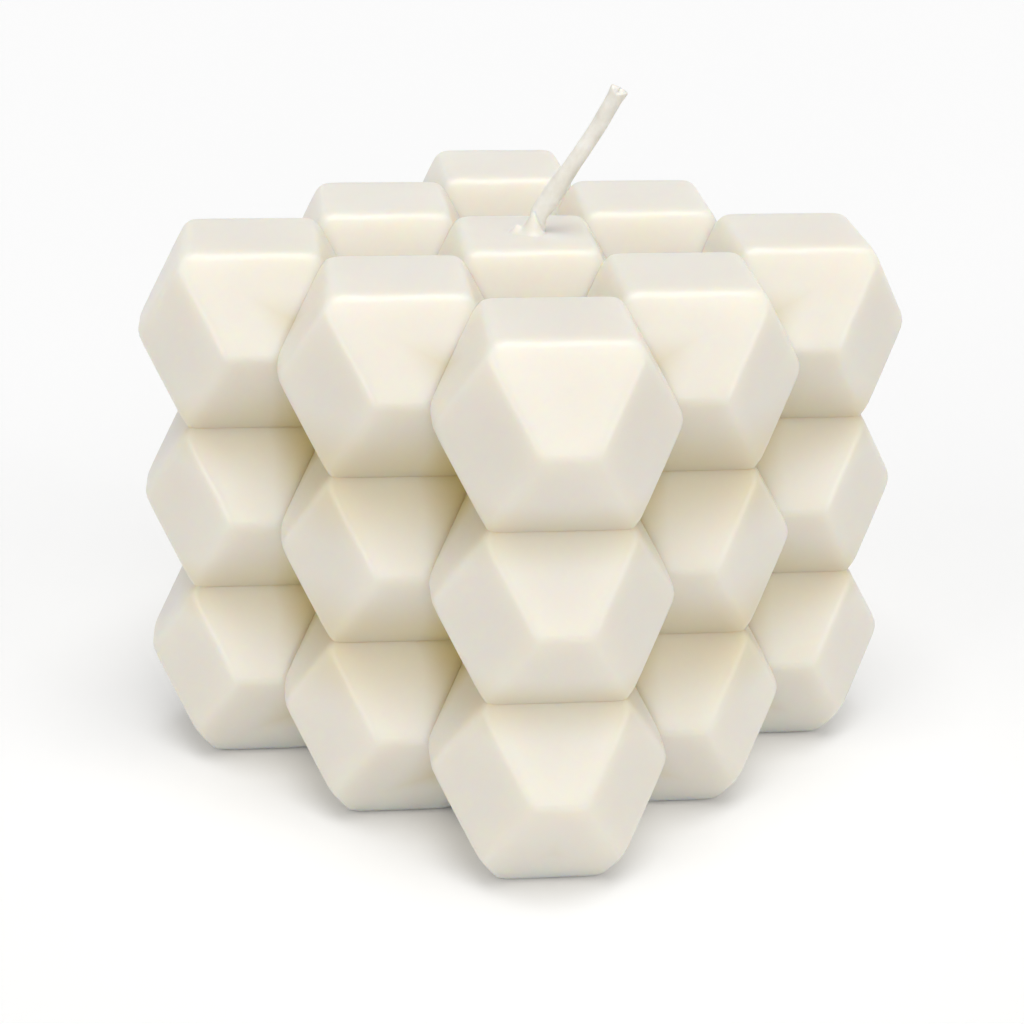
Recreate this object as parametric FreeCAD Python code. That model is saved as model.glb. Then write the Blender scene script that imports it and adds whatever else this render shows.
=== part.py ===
import FreeCAD, Part
import math
import os

os.makedirs("parts", exist_ok=True)

# Moulded cube candle: a block of faceted wax gems, three each way, cast in one piece round a cotton wick.
# Millimetres. The origin is the middle of the base, +Z is up, and the sides face +-X and +-Y.

# One gem: a square block cut by eight slanted faces so deep that its top, base and sides are left as diamonds
gem_half = 11.0          # centre to each of the four side faces
gem_rise = 10.2          # centre to the top face
gem_drop = 12.6          # centre of the lowest gems to the base
reach_across = 18.2      # |x| + |y| on the slanted faces, level with the centre
reach_up = 22.75         # height above the centre where the slanted faces would meet
edge_bevel = 0.5         # set back along both faces of each diamond's edges

# The block
gems_across = 3          # gems along X and along Y
gem_layers = 3           # gems up the height
pitch_across = 21.4      # between neighbouring gem centres, level
pitch_up = 19.1          # between stacked gem centres

# Wick: a round waxed cord, upright through the block, then leaning
wick_diameter = 1.8
wick_fit = 0.02          # all round, between the cord and the wax cast on it
wick_offset = 1.2        # off the block's middle, towards the lean
foot_rise = 1.7          # upright length above the top face, inside the collar
first_run = 12.0
first_lean = 32.0        # from upright
second_run = 4.9         # up to the cut end
second_lean = 27.5
lean_heading = 39.0      # direction of the lean, from +X towards +Y
knee_radius = 1.9        # centre-line radius where the lean starts
bow_radius = 20.0        # and where the second run starts

# Wax drawn up round the foot of the wick, a small mound with hollow sides
collar_offset = 0.1      # off the block's middle, towards the lean
collar_foot = 4.6        # diameter at the top face
collar_tip = 1.5         # diameter at its upper end
collar_rise = 2.4
collar_hollow = 0.35     # how far its side bows in from a straight cone

top_face = gem_drop + pitch_up * (gem_layers - 1) + gem_rise


def vec(x, y, z):
    return FreeCAD.Vector(x, y, z)


def shave(solid, outward, point):
    """Cuts away what lies beyond the plane through the point."""
    wide = 4 * (gem_half + gem_rise + gem_drop)
    beyond = Part.makeBox(wide, wide, wide, vec(-wide / 2, -wide / 2, 0))
    beyond.Placement = FreeCAD.Placement(point, FreeCAD.Rotation(vec(0, 0, 1), outward))
    return solid.cut(beyond)


def bevel_rims(gem, face, reach, slants):
    """Bevels one diamond, at this reach from the centre, along each slanted face that borders it."""
    for slant, slant_reach in slants:
        lean = face.dot(slant)
        if lean > 0:
            share = (slant_reach - lean * reach) / (1 - lean ** 2)
            rim = face * (reach - share * lean) + slant * share
            inward = (face * lean - slant).normalize()
            gem = shave(gem, face + slant, rim + inward * edge_bevel)
    return gem


def make_gem():
    """One faceted gem about the origin."""
    width, height = 2 * gem_half, gem_drop + gem_rise
    gem = Part.makeBox(width, width, height, vec(-gem_half, -gem_half, -gem_drop))
    slants = []
    for x in (1, -1):
        for y in (1, -1):
            for z in (1, -1):
                outward = vec(x / reach_across, y / reach_across, z / reach_up)
                slant_reach = 1 / outward.Length
                slants.append((outward.normalize(), slant_reach))
                gem = shave(gem, slants[-1][0], slants[-1][0] * slant_reach)
    for way in (1, -1):
        gem = bevel_rims(gem, vec(way, 0, 0), gem_half, slants)
        gem = bevel_rims(gem, vec(0, way, 0), gem_half, slants)
    gem = bevel_rims(gem, vec(0, 0, 1), gem_rise, slants)
    gem = bevel_rims(gem, vec(0, 0, -1), gem_drop, slants)
    return gem.removeSplitter().Solids[0]


def gem_places():
    """Centres of all the gems in the block."""
    middle = (gems_across - 1) / 2
    for layer in range(gem_layers):
        for row in range(gems_across):
            for column in range(gems_across):
                yield vec((column - middle) * pitch_across, (row - middle) * pitch_across,
                          gem_drop + layer * pitch_up)


def make_block():
    """All the gems and the solid wax between their centres, as one casting."""
    gem = make_gem()
    copies = []
    for place in gem_places():
        copy = gem.copy()
        copy.translate(place)
        copies.append(copy)
    # The wax is solid inside the outer gems' centres, so each pit between four gems ends there.
    across, height = pitch_across * (gems_across - 1), pitch_up * (gem_layers - 1)
    core = Part.makeBox(across, across, height, vec(-across / 2, -across / 2, gem_drop))
    return core.multiFuse(copies).removeSplitter()


def lean_plane(offset, height):
    """A point of the upright plane in which the wick leans."""
    turn = math.radians(lean_heading)
    return vec(offset * math.cos(turn), offset * math.sin(turn), height)


def make_cord(diameter):
    """A round cord along the wick's path: straight runs joined by tangent arcs."""
    first, second = math.radians(first_lean), math.radians(second_lean)
    knee = lean_plane(wick_offset, top_face + foot_rise)
    bow = knee + lean_plane(first_run * math.sin(first), first_run * math.cos(first))
    end = bow + lean_plane(second_run * math.sin(second), second_run * math.cos(second))
    points = [lean_plane(wick_offset, 0), knee, bow, end]
    edges, start = [], points[0]
    for before, corner, after, radius in zip(points, points[1:], points[2:], (knee_radius, bow_radius)):
        back, on = (before - corner).normalize(), (after - corner).normalize()
        half_turn = (math.pi - back.getAngle(on)) / 2
        run_in = radius * math.tan(half_turn)
        middle = corner + (back + on).normalize() * (radius / math.cos(half_turn) - radius)
        entry, leave = corner + back * run_in, corner + on * run_in
        edges += [Part.LineSegment(start, entry).toShape(), Part.Arc(entry, middle, leave).toShape()]
        start = leave
    edges.append(Part.LineSegment(start, end).toShape())
    ring = Part.Wire([Part.makeCircle(diameter / 2, points[0], vec(0, 0, 1))])
    return Part.Wire(edges).makePipeShell([ring], True, False)


def make_collar():
    """The wax mound, with a root that sinks it into the top gem."""
    foot, tip = collar_foot / 2, collar_tip / 2
    half_way = vec((foot + tip) / 2 - collar_hollow, 0, top_face + collar_rise / 2)
    rim, lip = vec(foot, 0, top_face), vec(tip, 0, top_face + collar_rise)
    root = top_face - gem_rise / 2
    outline = Part.Wire([Part.Arc(rim, half_way, lip).toShape(),
                         Part.LineSegment(lip, vec(0, 0, lip.z)).toShape(),
                         Part.LineSegment(vec(0, 0, lip.z), vec(0, 0, root)).toShape(),
                         Part.LineSegment(vec(0, 0, root), vec(foot, 0, root)).toShape(),
                         Part.LineSegment(vec(foot, 0, root), rim).toShape()])
    mound = Part.Face(outline).revolve(vec(0, 0, 0), vec(0, 0, 1), 360)
    mound.translate(lean_plane(collar_offset, 0))
    return mound


wick = make_cord(wick_diameter)
bore = make_cord(wick_diameter + 2 * wick_fit)
wax_body = make_block().fuse(make_collar()).cut(bore).removeSplitter().Solids[0]

for name, shape in (("wax_body", wax_body), ("wick", wick)):
    box = shape.BoundBox
    print(name, shape.ShapeType, "valid", shape.isValid(), "faces", len(shape.Faces),
          "volume", round(shape.Volume, 1), "size", round(box.XLength, 2), round(box.YLength, 2),
          round(box.ZLength, 2))
    shape.exportStep("parts/" + name + ".step")
wick_length = top_face + foot_rise + first_run + second_run
print("wick section x length", round(math.pi * wick_diameter ** 2 / 4 * wick_length, 1))
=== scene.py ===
import math

import bmesh
import bpy
from mathutils import Matrix, Vector


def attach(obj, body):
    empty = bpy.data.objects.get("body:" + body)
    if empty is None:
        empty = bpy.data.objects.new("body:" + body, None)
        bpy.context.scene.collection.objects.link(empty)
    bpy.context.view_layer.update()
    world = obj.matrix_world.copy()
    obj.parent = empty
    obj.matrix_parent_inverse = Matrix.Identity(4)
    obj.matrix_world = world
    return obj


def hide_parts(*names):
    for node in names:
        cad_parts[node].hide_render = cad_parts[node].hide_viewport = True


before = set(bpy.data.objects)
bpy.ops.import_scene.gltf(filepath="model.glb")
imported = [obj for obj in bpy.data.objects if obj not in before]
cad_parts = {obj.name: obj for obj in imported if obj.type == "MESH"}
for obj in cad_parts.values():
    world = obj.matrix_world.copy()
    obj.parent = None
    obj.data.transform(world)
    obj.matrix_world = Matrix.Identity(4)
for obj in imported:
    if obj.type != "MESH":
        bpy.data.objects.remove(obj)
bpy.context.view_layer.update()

# Metres. The candle stands on z = 0, round the z axis.
MM = 0.001

# One gem, as the source has it
GEM_HALF = 11.0 * MM        # centre to each of the four side faces
GEM_RISE = 10.2 * MM        # centre to the top face
GEM_DROP = 12.6 * MM        # centre of the lowest gems to the base
REACH_ACROSS = 18.2 * MM    # |x| + |y| on the slanted faces, level with the centre
REACH_UP = 22.75 * MM       # height above the centre where the slanted faces would meet

# The block
GEMS = 3                    # each way
PITCH_ACROSS = 21.4 * MM
PITCH_UP = 19.1 * MM
TOP_FACE = GEM_DROP + PITCH_UP * (GEMS - 1) + GEM_RISE

# How softly a gem's faces run into one another
SLANT_SOFTNESS = 0.38 * MM  # slanted faces, at the waist and at the short upright edges
RIM_SOFTNESS = 0.32 * MM    # round the diamonds
# Lines laid on a gem on both sides of each edge, at these distances, so that they crowd where it is rounded
RIM_LINES = (0.0, 0.4 * MM, 0.9 * MM, 1.6 * MM)
WAIST_LINES = (0.6 * MM, 1.5 * MM, 2.8 * MM)
HALVINGS = 30               # in the search for the rounded form along a ray
CREASE_ANGLE = math.radians(28)   # sharper than this is a crease between gems

# The wick
WICK_DIAMETER = 1.8 * MM
WICK_FIT = 0.05 * MM        # all round, between the cord and its hole
BORE_MOUTH = 1.5 * MM       # how deep the wick's hole is shown in the base
BORE_POINTS = 36
WICK_OFFSET = 1.2 * MM      # off the block's middle, towards the lean
FOOT_RISE = 1.7 * MM        # upright length above the top face
FIRST_RUN, FIRST_LEAN = 12.0 * MM, math.radians(32.0)
SECOND_RUN, SECOND_LEAN = 4.9 * MM, math.radians(27.5)
LEAN_HEADING = math.radians(39.0)
KNEE_RADIUS, BOW_RADIUS = 1.9 * MM, 20.0 * MM
ARC_STEPS = 8
STRAND_LINES = 380.0        # fine slanting lines met along a metre of cord
STRAND_STARTS = 2.0         # and once round it

# Wax drawn up at the wick's foot, as smooth heaps. Each has, in millimetres, its place along the wick's lean
# and to the right of that, its height, and its half-widths both ways.
HEAPS = ((0.80, 0.70, 2.05, 0.75, 0.80), (-1.15, 0.45, 0.60, 0.60, 0.50), (0.10, 0.40, 0.80, 1.50, 1.15))
HEAP_REACH = 3.6 * MM
HEAP_SINK = 0.15 * MM       # below the top face at its rim
HEAP_ROOT = 4.0 * MM        # how deep it is rooted in the top gem
HEAP_RINGS, HEAP_POINTS = 18, 48

# Painted shade: the wax's colour is turned dark gold where shade falls, deep below the block's outer faces,
# and beside the creases between two layers. The creases of the middle gems get this painted shade further
# out, and more.
DEEP_STARTS, DEEP_ENDS = 3.5 * MM, 10.0 * MM
MIDDLE_STARTS, MIDDLE_ENDS = 9.0 * MM, 24.0 * MM    # from the block's own upright middle planes
CREASE_REACH, MIDDLE_EXTRA_REACH = 4.0 * MM, 4.5 * MM
CREASE_SHADE_SHARE, MIDDLE_EXTRA_SHADE_SHARE = 0.36, 0.15

# How far light spreads in the wax: thin wax round the wick's foot, and the rest
SPREAD_AT_WICK, SPREAD_IN_BLOCK = 0.6 * MM, 5.0 * MM
SPREAD_STARTS, SPREAD_ENDS = 2.0 * MM, 5.0 * MM     # from the wick's foot

# The stage
FLOOR_SIDE = 4.0
FLOOR_DROP = 0.05 * MM      # below the candle's base, so that the two don't share a plane
FLOOR_SHARE = 0.78          # of light that it sends back to the candle; to the eye it is white
FLOOR_GLOW = 0.025
SKY_STRENGTH = 0.28
# Lamps far off: heading from straight in front of the -Y side towards +X, height, width, all in degrees,
# and strength
LAMPS = (("overhead", 55.0, 80.0, 40.0, 1.60),
         ("front", 51.0, 37.0, 32.0, 0.32),
         ("left", -15.0, 20.0, 40.0, 0.34),
         ("right", 100.0, 20.0, 40.0, 0.26),
         ("low front", 40.0, 12.0, 30.0, 0.30),
         ("left strip", 2.0, 7.0, 9.0, 0.20),
         ("right strip", 101.0, 7.0, 9.0, 0.20))
CAMERA_HEADING, CAMERA_HEIGHT, CAMERA_ROLL = (math.radians(angle) for angle in (38.847, 23.016, 1.155))
CAMERA_PLACE = Vector((151.92, -190.17, 130.66)) * MM
CAMERA_LENS, CAMERA_SENSOR = 79.93, 36.0


def shown(name, data, material=None):
    """A new object at the origin that holds this mesh, curve, light or camera."""
    thing = bpy.data.objects.new(name, data)
    bpy.context.scene.collection.objects.link(thing)
    if material:
        data.materials.clear()
        data.materials.append(material)
    return thing


def baked(thing):
    """The object's mesh with its modifiers applied, on the same object."""
    graph = bpy.context.evaluated_depsgraph_get()
    mesh = bpy.data.meshes.new_from_object(thing.evaluated_get(graph), depsgraph=graph)
    if thing.type == "MESH":
        thing.modifiers.clear()
        thing.data = mesh
        return thing
    name = thing.name
    bpy.data.objects.remove(thing)
    return shown(name, mesh)


class Tree:
    """A small helper that adds and links nodes in a geometry or material tree."""

    def __init__(self, group):
        self.nodes, self.links = group.nodes, group.links

    def add(self, kind, inputs=(), **settings):
        node = self.nodes.new(kind)
        for name, value in settings.items():
            setattr(node, name, value)
        for socket, value in dict(inputs).items():
            self.feed(node.inputs[socket], value)
        return node

    def feed(self, socket, value):
        if isinstance(value, bpy.types.NodeSocket):
            self.links.new(value, socket)
        elif isinstance(value, bpy.types.Node):
            self.links.new(next(out for out in value.outputs if out.enabled), socket)
        else:
            socket.default_value = value

    def math(self, operation, *values, **settings):
        node = self.add("ShaderNodeMath", operation=operation, **settings)
        for n, value in enumerate(values):
            self.feed(node.inputs[n], value)
        return node.outputs[0]

    def ease(self, value, start, end, at_start, at_end):
        """Goes smoothly from one result to another while the value goes from start to end."""
        return self.add("ShaderNodeMapRange", {"Value": value, "From Min": start, "From Max": end,
                                               "To Min": at_start, "To Max": at_end},
                        interpolation_type="SMOOTHSTEP").outputs["Result"]

    def scaled(self, vector, share):
        return self.add("ShaderNodeVectorMath", {0: vector, "Scale": share},
                        operation="SCALE").outputs["Vector"]

    def keep(self, geometry, label, value, kind):
        """Stores a value on each point under this name."""
        return self.add("GeometryNodeStoreNamedAttribute",
                        {"Geometry": geometry, "Name": label, "Value": value},
                        data_type=kind, domain="POINT")

    def kept(self, label, kind):
        return self.add("GeometryNodeInputNamedAttribute", {"Name": label},
                        data_type=kind).outputs["Attribute"]

    def blend(self, value, *stops):
        """A colour for the value, from two stops that each have a value and a colour."""
        ramp = self.add("ShaderNodeValToRGB", {"Fac": value})
        for element, (position, colour) in zip(ramp.color_ramp.elements, stops):
            element.position, element.color = position, colour
        return ramp.outputs["Color"]


def geometry_tree(name, sizes):
    """A geometry tree with the given named inputs, its helper, and its two end nodes."""
    group = bpy.data.node_groups.new(name, "GeometryNodeTree")
    group.interface.new_socket("Geometry", in_out="INPUT", socket_type="NodeSocketGeometry")
    for label, value in sizes.items():
        kind = {float: "NodeSocketFloat", int: "NodeSocketInt"}.get(type(value), "NodeSocketMaterial")
        socket = group.interface.new_socket(label, in_out="INPUT", socket_type=kind)
        socket.default_value = value
    group.interface.new_socket("Geometry", in_out="OUTPUT", socket_type="NodeSocketGeometry")
    tree = Tree(group)
    return group, tree, tree.add("NodeGroupInput").outputs, tree.add("NodeGroupOutput").inputs


def run_tree(thing, group, sizes):
    """Puts the tree on the object with these sizes, and bakes it."""
    modifier = thing.modifiers.new(group.name, "NODES")
    modifier.node_group = group
    for item in group.interface.items_tree:
        if item.in_out == "INPUT" and item.name in sizes:
            modifier[item.identifier] = sizes[item.name]
    return baked(thing)


def new_finish(name):
    """A material, the helper for its tree, and its shader."""
    material = bpy.data.materials.new(name)
    material.use_nodes = True
    tree = Tree(material.node_tree)
    return material, tree, tree.nodes["Principled BSDF"]


def lean_plane(offset, height):
    """A point of the upright plane in which the wick leans."""
    return Vector((offset * math.cos(LEAN_HEADING), offset * math.sin(LEAN_HEADING), height))


def painted_shade_share(tree, place):
    """Painted shade from 0 to 1: the wax turned gold deep in the block and beside the creases between layers.
    """
    x, y, z = tree.add("ShaderNodeSeparateXYZ", {0: place}).outputs
    x, y = tree.math("ABSOLUTE", x), tree.math("ABSOLUTE", y)
    side_depth = tree.math("SUBTRACT", PITCH_ACROSS + GEM_HALF, tree.math("MAXIMUM", x, y))
    up_depth = tree.math("MINIMUM", z, tree.math("SUBTRACT", TOP_FACE, z))
    deep = tree.ease(tree.math("MINIMUM", side_depth, up_depth), DEEP_STARTS, DEEP_ENDS, 0.0, 1.0)

    middle = tree.ease(tree.math("MINIMUM", x, y), MIDDLE_STARTS, MIDDLE_ENDS, 1.0, 0.0)
    first_crease = GEM_DROP + PITCH_UP / 2
    creases = [tree.math("ABSOLUTE", tree.math("SUBTRACT", z, first_crease + layer * PITCH_UP))
               for layer in range(GEMS - 1)]
    reach = tree.math("MULTIPLY_ADD", middle, MIDDLE_EXTRA_REACH, CREASE_REACH)
    share = tree.math("MULTIPLY_ADD", middle, MIDDLE_EXTRA_SHADE_SHARE, CREASE_SHADE_SHARE)
    beside = tree.ease(tree.math("MINIMUM", *creases), 0.0, reach, share, 0.0)
    return tree.math("MAXIMUM", deep, beside)


def wax_finish():
    """Cast wax: warm white, softly glossy, painted golden shade in the creases, light spreading under it."""
    material, tree, wax = new_finish("cast wax")
    place = tree.add("ShaderNodeTexCoord").outputs["Object"]

    # Cloudy warm white, mixed with a dark gold that is painted shade
    cloud = tree.add("ShaderNodeTexNoise", {"Vector": place, "Scale": 70.0, "Detail": 3.0, "Roughness": 0.5})
    white = tree.blend(cloud.outputs["Fac"], (0.3, (0.805, 0.767, 0.680, 1)), (0.7, (0.830, 0.797, 0.720, 1)))
    shade = tree.add("ShaderNodeMix", {"Factor": painted_shade_share(tree, place)}, data_type="RGBA")
    first, second = (socket for socket in shade.inputs if socket.type == "RGBA")
    tree.feed(first, white)
    # The dark gold of the painted shade in the creases and deep in the block
    tree.feed(second, (0.62, 0.51, 0.25, 1))
    tree.feed(wax.inputs["Base Color"], next(socket for socket in shade.outputs if socket.type == "RGBA"))

    # Faint waves of the mould and a finer grain
    wave = tree.add("ShaderNodeTexNoise", {"Vector": place, "Scale": 140.0, "Detail": 2.0, "Roughness": 0.45})
    grain = tree.add("ShaderNodeTexNoise", {"Vector": place, "Scale": 1500.0, "Detail": 2.0})
    height = tree.math("ADD", wave.outputs["Fac"], tree.math("MULTIPLY", grain.outputs["Fac"], 0.05))
    bump = tree.add("ShaderNodeBump", {"Height": height, "Strength": 0.35, "Distance": 0.5 * MM})
    tree.feed(wax.inputs["Normal"], bump)
    gloss = tree.add("ShaderNodeMapRange", {"Value": wave.outputs["Fac"], "To Min": 0.28, "To Max": 0.34})
    tree.feed(wax.inputs["Roughness"], gloss)
    wax.inputs["IOR"].default_value = 1.44
    wax.inputs["Specular IOR Level"].default_value = 0.6

    # Red light runs furthest under the surface and blue the least, and all of it less far beside the wick
    wax.inputs["Subsurface Weight"].default_value = 1.0
    wax.inputs["Subsurface Radius"].default_value = (1.0, 0.68, 0.35)
    wick_foot = lean_plane(WICK_OFFSET, TOP_FACE + FOOT_RISE)
    from_wick = tree.add("ShaderNodeVectorMath", {0: place, 1: wick_foot},
                         operation="DISTANCE").outputs["Value"]
    tree.feed(wax.inputs["Subsurface Scale"],
              tree.ease(from_wick, SPREAD_STARTS, SPREAD_ENDS, SPREAD_AT_WICK, SPREAD_IN_BLOCK))
    return material


def cotton_finish():
    """Waxed cotton: an off-white cord with its strands' fine lines under a thin coat of wax."""
    material, tree, cotton = new_finish("waxed cotton")
    along = tree.add("ShaderNodeAttribute", attribute_name="along").outputs["Fac"]
    round_it = tree.add("ShaderNodeAttribute", attribute_name="round").outputs["Fac"]
    place = tree.add("ShaderNodeTexCoord").outputs["Object"]
    slant = tree.math("ADD", tree.math("MULTIPLY", along, STRAND_LINES),
                      tree.math("MULTIPLY", round_it, STRAND_STARTS))
    lay = tree.math("SINE", tree.math("MULTIPLY", slant, 2 * math.pi))
    patch = tree.add("ShaderNodeTexNoise", {"Vector": place, "Scale": 420.0, "Detail": 4.0, "Roughness": 0.6})
    tree.feed(cotton.inputs["Base Color"],
              tree.blend(patch.outputs["Fac"], (0.32, (0.78, 0.75, 0.67, 1)), (0.68, (0.90, 0.88, 0.83, 1))))
    height = tree.math("ADD", tree.math("MULTIPLY", lay, 0.22), patch.outputs["Fac"])
    bump = tree.add("ShaderNodeBump", {"Height": height, "Strength": 0.5, "Distance": 0.12 * MM})
    tree.feed(cotton.inputs["Normal"], bump)
    cotton.inputs["Roughness"].default_value = 0.42
    cotton.inputs["Subsurface Weight"].default_value = 0.35
    cotton.inputs["Subsurface Radius"].default_value = (1.0, 0.8, 0.6)
    cotton.inputs["Subsurface Scale"].default_value = 0.5 * MM
    return material


def eased_largest(reaches, softness):
    """The largest of these, eased over where two of them are close."""
    largest = max(reaches)
    return largest + softness * math.log(sum(math.exp((reach - largest) / softness) for reach in reaches))


def outside_gem(place):
    """How far a point lies outside the gem with its edges rounded; below nought inside it."""
    steepness = Vector((1 / REACH_ACROSS, 1 / REACH_ACROSS, 1 / REACH_UP)).length
    slants = [((x * place.x + y * place.y) / REACH_ACROSS + z * place.z / REACH_UP - 1) / steepness
              for x in (1, -1) for y in (1, -1) for z in (1, -1)]
    diamonds = [abs(place.x) - GEM_HALF, abs(place.y) - GEM_HALF, place.z - GEM_RISE, -place.z - GEM_DROP]
    return eased_largest([eased_largest(slants, SLANT_SOFTNESS)] + diamonds, RIM_SOFTNESS)


def lay_lines(gem, axis, edges):
    """Cuts the gem's faces along lines square to this axis, round each edge's reach and round the middle."""
    reaches = [side * line for side in (1, -1) for line in WAIST_LINES]
    reaches += [edge + side * line for edge in edges for side in (1, -1) for line in RIM_LINES]
    for reach in sorted(set(reaches)):
        bmesh.ops.bisect_plane(gem, geom=gem.verts[:] + gem.edges[:] + gem.faces[:], plane_co=axis * reach,
                               plane_no=axis)


def make_gem():
    """One gem about the origin: eight slanted faces, cut by lines, and each point drawn in to its form."""
    gem = bmesh.new()
    for side in (1, -1):
        for tip in ((REACH_ACROSS, 0, 0), (0, REACH_ACROSS, 0), (0, 0, REACH_UP)):
            gem.verts.new(Vector(tip) * side)
    bmesh.ops.convex_hull(gem, input=gem.verts)
    bmesh.ops.recalc_face_normals(gem, faces=gem.faces)
    lay_lines(gem, Vector((1, 0, 0)), (GEM_HALF, -GEM_HALF))
    lay_lines(gem, Vector((0, 1, 0)), (GEM_HALF, -GEM_HALF))
    lay_lines(gem, Vector((0, 0, 1)), (GEM_RISE, -GEM_DROP))
    for point in gem.verts:
        inner, outer = 0.0, 1.0
        for _ in range(HALVINGS):
            share = (inner + outer) / 2
            if outside_gem(point.co * share) > 0:
                outer = share
            else:
                inner = share
        point.co *= inner
    bmesh.ops.triangulate(gem, faces=gem.faces)
    mesh = bpy.data.meshes.new("gem")
    gem.to_mesh(mesh)
    gem.free()
    return shown("wax_block", mesh)


def block_tree(sizes):
    """Sets the gem three each way and unites the copies with the solid wax between their centres."""
    group, tree, size, out = geometry_tree("gem block", sizes)
    steps = tree.math("SUBTRACT", size["Gems each way"], 1.0)
    across = tree.math("MULTIPLY", steps, size["Pitch across"])
    height = tree.math("MULTIPLY", steps, size["Pitch up"])
    layer = tree.add("GeometryNodeMeshGrid", {"Vertices X": size["Gems each way"],
                                              "Vertices Y": size["Gems each way"],
                                              "Size X": across, "Size Y": across})
    rise = tree.add("ShaderNodeCombineXYZ", {"Z": size["Pitch up"]})
    first = tree.add("ShaderNodeCombineXYZ", {"Z": size["Gem drop"]})
    stack = tree.add("GeometryNodeMeshLine", {"Count": size["Gems each way"], "Start Location": first,
                                              "Offset": rise})
    layers = tree.add("GeometryNodeInstanceOnPoints", {"Points": stack, "Instance": layer.outputs["Mesh"]})
    places = tree.add("GeometryNodeRealizeInstances", {0: layers})
    gems = tree.add("GeometryNodeInstanceOnPoints", {"Points": places, "Instance": size["Geometry"]})
    gems = tree.add("GeometryNodeRealizeInstances", {0: gems})
    core_size = tree.add("ShaderNodeCombineXYZ", {"X": across, "Y": across, "Z": height})
    core = tree.add("GeometryNodeMeshCube", {"Size": core_size})
    middle = tree.math("ADD", tree.math("MULTIPLY", height, 0.5), size["Gem drop"])
    lift = tree.add("ShaderNodeCombineXYZ", {"Z": middle})
    core = tree.add("GeometryNodeTransform", {"Geometry": core.outputs["Mesh"], "Translation": lift})
    united = tree.add("GeometryNodeMeshBoolean", {"Self Intersection": True}, operation="UNION",
                      solver="EXACT")
    tree.feed(united.inputs["Mesh 2"], gems)
    tree.feed(united.inputs["Mesh 2"], core)
    whole = tree.add("GeometryNodeRealizeInstances", {0: united.outputs["Mesh"]})
    coat = tree.add("GeometryNodeSetMaterial", {"Geometry": whole, "Material": size["Wax"]})
    tree.feed(out[0], coat)
    return group


def mark_creases(block):
    """Smooth faces all over, with the creases between gems kept sharp."""
    mesh = bmesh.new()
    mesh.from_mesh(block.data)
    for face in mesh.faces:
        face.smooth = True
        face.material_index = 0
    for edge in mesh.edges:
        edge.smooth = edge.calc_face_angle(0) < CREASE_ANGLE
    mesh.to_mesh(block.data)
    mesh.free()


def wick_course():
    """Points along the wick, from the base to the cut end: straight runs joined by arcs."""
    knee = lean_plane(WICK_OFFSET, TOP_FACE + FOOT_RISE)
    bow = knee + lean_plane(FIRST_RUN * math.sin(FIRST_LEAN), FIRST_RUN * math.cos(FIRST_LEAN))
    end = bow + lean_plane(SECOND_RUN * math.sin(SECOND_LEAN), SECOND_RUN * math.cos(SECOND_LEAN))
    corners = [lean_plane(WICK_OFFSET, 0), knee, bow, end]
    course = [corners[0]]
    for before, corner, after, radius in zip(corners, corners[1:], corners[2:], (KNEE_RADIUS, BOW_RADIUS)):
        back, on = (before - corner).normalized(), (after - corner).normalized()
        half_turn = (math.pi - back.angle(on)) / 2
        inward = (back + on).normalized()
        centre = corner + inward * radius / math.cos(half_turn)
        for step in range(ARC_STEPS + 1):
            turn = half_turn * (2 * step / ARC_STEPS - 1)
            way = -inward * math.cos(turn) + (on - back).normalized() * math.sin(turn)
            course.append(centre + way * radius)
    course.append(corners[-1])
    return course


def wick_path(tree, size):
    """The wick's line, turned as its strands turn, with its length so far, what is left and its course."""
    path = tree.add("GeometryNodeResampleCurve", {"Curve": size["Geometry"], "Length": size["Step"]},
                    mode="LENGTH")
    along = tree.add("GeometryNodeSplineParameter").outputs["Length"]
    turns = tree.math("DIVIDE", tree.math("MULTIPLY", along, 2 * math.pi), size["Lay"])
    path = tree.add("GeometryNodeSetCurveTilt", {"Curve": path, "Tilt": turns})
    left = tree.math("SUBTRACT", tree.add("GeometryNodeCurveLength", {"Curve": path}), along)
    course = tree.add("GeometryNodeInputTangent")
    for label, value, kind in (("along", along, "FLOAT"), ("left over", left, "FLOAT"),
                               ("course", course, "FLOAT_VECTOR")):
        path = tree.keep(path, label, value, kind)
    return path, left


def wick_width(tree, size, left):
    """The wick's width against its plain one: a domed, flared end, and a swelling where wax clings to it."""
    flare = tree.ease(left, size["Dome"], size["Flare length"], size["Flare"], 1.0)
    inset = tree.math("SUBTRACT", 1.0, tree.math("DIVIDE", left, size["Dome"], use_clamp=True))
    dome = tree.math("SQRT", tree.math("SUBTRACT", 1.001, tree.math("MULTIPLY", inset, inset)))
    high = tree.add("ShaderNodeSeparateXYZ", {0: tree.add("GeometryNodeInputPosition")}).outputs["Z"]
    off = tree.math("DIVIDE", tree.math("SUBTRACT", high, size["Swell height"]), size["Swell length"])
    bell = tree.math("EXPONENT", tree.math("MULTIPLY", tree.math("MULTIPLY", off, off), -1.0))
    swell = tree.math("MULTIPLY", bell, size["Swell"])
    return tree.math("MULTIPLY", tree.math("ADD", flare, swell), dome)


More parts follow.
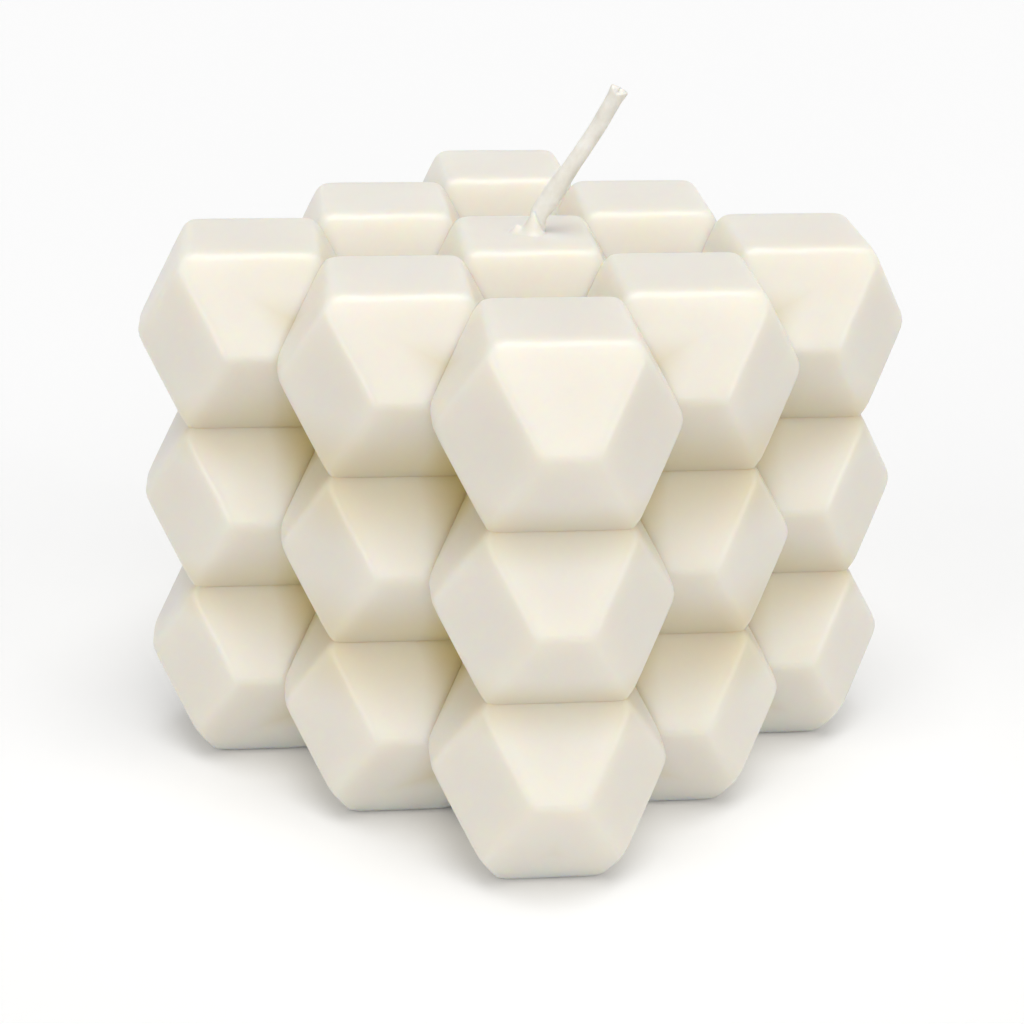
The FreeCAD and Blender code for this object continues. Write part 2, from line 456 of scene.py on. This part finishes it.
def strand_ring(tree, size):
    """The wick's section: a ring drawn in on two opposite sides, between its strands."""
    ring = tree.add("GeometryNodeCurvePrimitiveCircle", {"Resolution": size["Points round"],
                                                         "Radius": size["Radius"]}, mode="RADIUS")
    turn = tree.math("MULTIPLY", tree.add("GeometryNodeSplineParameter").outputs["Factor"], 2 * math.pi)
    side = tree.math("ABSOLUTE", tree.math("COSINE", turn))
    lobes = tree.math("ADD", tree.math("SUBTRACT", 1.0, size["Groove"]),
                      tree.math("MULTIPLY", side, size["Groove"]))
    wide = tree.scaled(tree.add("GeometryNodeInputPosition"), lobes)
    ring = tree.add("GeometryNodeSetPosition", {"Geometry": ring, "Position": wide})
    ring = tree.keep(ring, "round", tree.math("DIVIDE", turn, 2 * math.pi), "FLOAT")
    return tree.keep(ring, "side", side, "FLOAT")


def notch_end(tree, size, cord):
    """Draws the end back between the two strands."""
    left, side = tree.kept("left over", "FLOAT"), tree.kept("side", "FLOAT")
    tip = tree.ease(left, 0.0, size["Flare length"], 1.0, 0.0)
    notch = tree.math("MULTIPLY", tree.math("SUBTRACT", side, 1.0), tree.math("MULTIPLY", tip, size["Notch"]))
    move = tree.scaled(tree.kept("course", "FLOAT_VECTOR"), notch)
    return tree.add("GeometryNodeSetPosition", {"Geometry": cord, "Offset": move})


def lump_cord(tree, size, cord):
    """Makes the cord uneven above the wax, most of all near its foot."""
    spot = tree.add("GeometryNodeInputPosition")
    lumps = tree.add("ShaderNodeTexNoise", {"Vector": spot, "Scale": 520.0, "Detail": 2.0})
    high = tree.add("ShaderNodeSeparateXYZ", {0: spot}).outputs["Z"]
    foot = tree.ease(high, size["Foot top"], size["Foot height"], 0.0, 1.0)
    push = tree.math("MULTIPLY", tree.math("SUBTRACT", lumps.outputs["Fac"], 0.5),
                     tree.math("ADD", size["Lump"], tree.math("MULTIPLY", foot, size["Foot lump"])))
    out_of_wax = tree.math("GREATER_THAN", high, size["Foot height"])
    move = tree.scaled(tree.add("GeometryNodeInputNormal"), tree.math("MULTIPLY", push, out_of_wax))
    return tree.add("GeometryNodeSetPosition", {"Geometry": cord, "Offset": move})


def wick_tree(sizes):
    """A cord of two strands side by side, swollen and lumpy with wax above its foot, with a notched end."""
    group, tree, size, out = geometry_tree("wick", sizes)
    path, left = wick_path(tree, size)
    cord = tree.add("GeometryNodeCurveToMesh", {"Curve": path, "Profile Curve": strand_ring(tree, size),
                                                "Fill Caps": True, "Scale": wick_width(tree, size, left)})
    cord = lump_cord(tree, size, notch_end(tree, size, cord))
    cord = tree.add("GeometryNodeSetShadeSmooth", {"Geometry": cord})
    cord = tree.add("GeometryNodeRealizeInstances", {0: cord})
    coat = tree.add("GeometryNodeSetMaterial", {"Geometry": cord, "Material": size["Cotton"]})
    tree.feed(out[0], coat)
    return group


def heap_height(along, across):
    """How high the wax stands at this place round the wick's foot, above the top face."""
    return sum(high * MM * math.exp(-((along / MM - u) / wide) ** 2 - ((across / MM - v) / deep) ** 2)
               for u, v, high, wide, deep in HEAPS) - HEAP_SINK


def mound_mesh():
    """The wax drawn up round the wick's foot, rooted in the top gem."""
    mound = bmesh.new()
    steps = [HEAP_REACH * step / HEAP_RINGS for step in range(HEAP_RINGS, 0, -1)]
    rings = [[mound.verts.new((0, 0, -HEAP_ROOT))]]
    for reach, rooted in [(HEAP_REACH, True)] + [(step, False) for step in steps]:
        ring = []
        for n in range(HEAP_POINTS):
            turn = 2 * math.pi * n / HEAP_POINTS
            along, across = reach * math.cos(turn), reach * math.sin(turn)
            height = -HEAP_ROOT if rooted else heap_height(along, across)
            ring.append(mound.verts.new((along, -across, height)))
        rings.append(ring)
    rings.append([mound.verts.new((0, 0, heap_height(0, 0)))])
    for low, high in zip(rings, rings[1:]):
        for n in range(HEAP_POINTS):
            corners = [low[n % len(low)], low[(n + 1) % len(low)],
                       high[(n + 1) % len(high)], high[n % len(high)]]
            mound.faces.new(list(dict.fromkeys(corners)))
    bmesh.ops.triangulate(mound, faces=mound.faces)
    bmesh.ops.recalc_face_normals(mound, faces=mound.faces)
    mound.transform(Matrix.Translation((0, 0, TOP_FACE)) @ Matrix.Rotation(LEAN_HEADING, 4, "Z"))
    mesh = bpy.data.meshes.new("mound")
    mound.to_mesh(mesh)
    mound.free()
    return mesh


def join_solid(body, tool, operation):
    """Unites the body with the tool, or cuts it by the tool."""
    step = body.modifiers.new(operation, "BOOLEAN")
    step.operation, step.solver, step.object = operation, "EXACT", tool
    baked(body)
    bpy.data.objects.remove(tool)


def bore_mesh():
    """The mouth of the wick's hole in the base."""
    hole = bmesh.new()
    depth = 2 * BORE_MOUTH
    radius = WICK_DIAMETER / 2 + WICK_FIT
    bmesh.ops.create_cone(hole, cap_ends=True, segments=BORE_POINTS, radius1=radius, radius2=radius,
                          depth=depth, matrix=Matrix.Translation(lean_plane(WICK_OFFSET, 0)))
    mesh = bpy.data.meshes.new("bore")
    hole.to_mesh(mesh)
    hole.free()
    return mesh


def make_block(wax):
    sizes = {"Gems each way": GEMS, "Pitch across": PITCH_ACROSS, "Pitch up": PITCH_UP,
             "Gem drop": GEM_DROP, "Wax": wax}
    block = run_tree(make_gem(), block_tree(sizes), sizes)
    join_solid(block, shown("mound", mound_mesh()), "UNION")
    join_solid(block, shown("bore", bore_mesh()), "DIFFERENCE")
    mark_creases(block)
    block.data.materials.clear()
    block.data.materials.append(wax)
    even = block.modifiers.new("even faces", "WEIGHTED_NORMAL")
    even.mode, even.weight, even.keep_sharp = "FACE_AREA", 100, True
    return baked(block)


def make_wick(cotton):
    course = wick_course()
    curve = bpy.data.curves.new("wick", "CURVE")
    curve.dimensions = "3D"
    spline = curve.splines.new("POLY")
    spline.points.add(len(course) - 1)
    for point, place in zip(spline.points, course):
        point.co = (*place, 1)
    sizes = {"Radius": WICK_DIAMETER / 2, "Step": 0.15 * MM, "Points round": 40, "Groove": 0.16,
             "Lay": 900.0 * MM,
             "Flare": 1.14, "Flare length": 1.6 * MM, "Dome": 0.22 * MM, "Notch": 0.55 * MM,
             "Swell": 0.24, "Swell height": TOP_FACE + 4.2 * MM, "Swell length": 2.2 * MM,
             "Lump": 0.10 * MM, "Foot lump": 0.32 * MM, "Foot height": TOP_FACE + 0.8 * MM,
             "Foot top": TOP_FACE + 6.5 * MM, "Cotton": cotton}
    return run_tree(shown("waxed_wick", curve), wick_tree(sizes), sizes)


def seen_by_eye(tree):
    """1 for a ray from the camera, a reflection or a clear surface, 0 for light on its way elsewhere."""
    rays = tree.add("ShaderNodeLightPath").outputs
    mirrored = tree.math("ADD", rays["Is Glossy Ray"], rays["Is Transmission Ray"])
    return tree.math("MINIMUM", 1.0, tree.math("ADD", rays["Is Camera Ray"], mirrored))


def white_floor():
    """A matt white that also glows a little to the eye."""
    material, tree, paint = new_finish("white floor")
    paint.inputs["Roughness"].default_value = 1.0
    paint.inputs["Specular IOR Level"].default_value = 0.0
    seen = seen_by_eye(tree)
    shade = tree.add("ShaderNodeMapRange", {"Value": seen, "To Min": FLOOR_SHARE, "To Max": 1.0})
    tree.feed(paint.inputs["Base Color"], shade)
    glow = tree.add("ShaderNodeEmission", {"Color": (1, 1, 1, 1),
                                           "Strength": tree.math("MULTIPLY", seen, FLOOR_GLOW)})
    both = tree.add("ShaderNodeAddShader", {0: paint.outputs[0], 1: glow})
    tree.feed(tree.nodes["Material Output"].inputs["Surface"], both)
    return material


def make_floor():
    """A plain floor that the candle stands on."""
    floor = bmesh.new()
    bmesh.ops.create_grid(floor, x_segments=1, y_segments=1, size=FLOOR_SIDE / 2)
    mesh = bpy.data.meshes.new("floor")
    floor.to_mesh(mesh)
    floor.free()
    for corner in mesh.vertices:
        corner.co.z = -FLOOR_DROP
    shown("floor", mesh, white_floor())


def make_sky():
    """Even light from all round, that shows as white."""
    sky = bpy.data.worlds.new("studio")
    sky.use_nodes = True
    bpy.context.scene.world = sky
    tree = Tree(sky.node_tree)
    strength = tree.add("ShaderNodeMapRange", {"Value": seen_by_eye(tree),
                                               "To Min": SKY_STRENGTH, "To Max": 1.0})
    light = tree.nodes.get("Background") or tree.add("ShaderNodeBackground")
    light.inputs["Color"].default_value = (1, 1, 1, 1)
    tree.feed(light.inputs["Strength"], strength)
    ends = tree.nodes.get("World Output") or tree.add("ShaderNodeOutputWorld")
    tree.feed(ends.inputs["Surface"], light)


def heading_to(heading, height):
    """A way of length 1 at this heading and height."""
    level = math.cos(height)
    return Vector((math.sin(heading) * level, -math.cos(heading) * level, math.sin(height)))


def make_lamp(name, heading, height, width, strength):
    """A lamp so far off that it lights the whole floor evenly."""
    light = bpy.data.lights.new(name, "SUN")
    light.angle, light.energy = math.radians(width), strength
    lamp = shown(name, light)
    lamp.location = heading_to(math.radians(heading), math.radians(height))
    lamp.rotation_euler = lamp.location.to_track_quat("Z", "Y").to_euler()


def make_camera():
    """The photograph's own view: a mild telephoto a little above the top, turned a degree."""
    back = heading_to(CAMERA_HEADING, CAMERA_HEIGHT)
    level = Vector((math.cos(CAMERA_HEADING), math.sin(CAMERA_HEADING), 0))
    upright = back.cross(level)
    right = level * math.cos(CAMERA_ROLL) + upright * math.sin(CAMERA_ROLL)
    up = upright * math.cos(CAMERA_ROLL) - level * math.sin(CAMERA_ROLL)
    data = bpy.data.cameras.new("camera")
    data.sensor_width, data.lens = CAMERA_SENSOR, CAMERA_LENS
    data.clip_start, data.clip_end = 0.01, 10.0
    camera = shown("camera", data)
    place = Matrix((right, up, back)).transposed().to_4x4()
    place.translation = CAMERA_PLACE
    camera.matrix_world = place
    bpy.context.scene.camera = camera


wax = wax_finish()
cotton = cotton_finish()
block = make_block(wax)
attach(block, "root")
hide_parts("wax_body")
wick = make_wick(cotton)
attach(wick, "root")
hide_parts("wick")

make_floor()
make_sky()
for lamp in LAMPS:
    make_lamp(*lamp)
make_camera()
bpy.context.scene.view_settings.view_transform = "Standard"
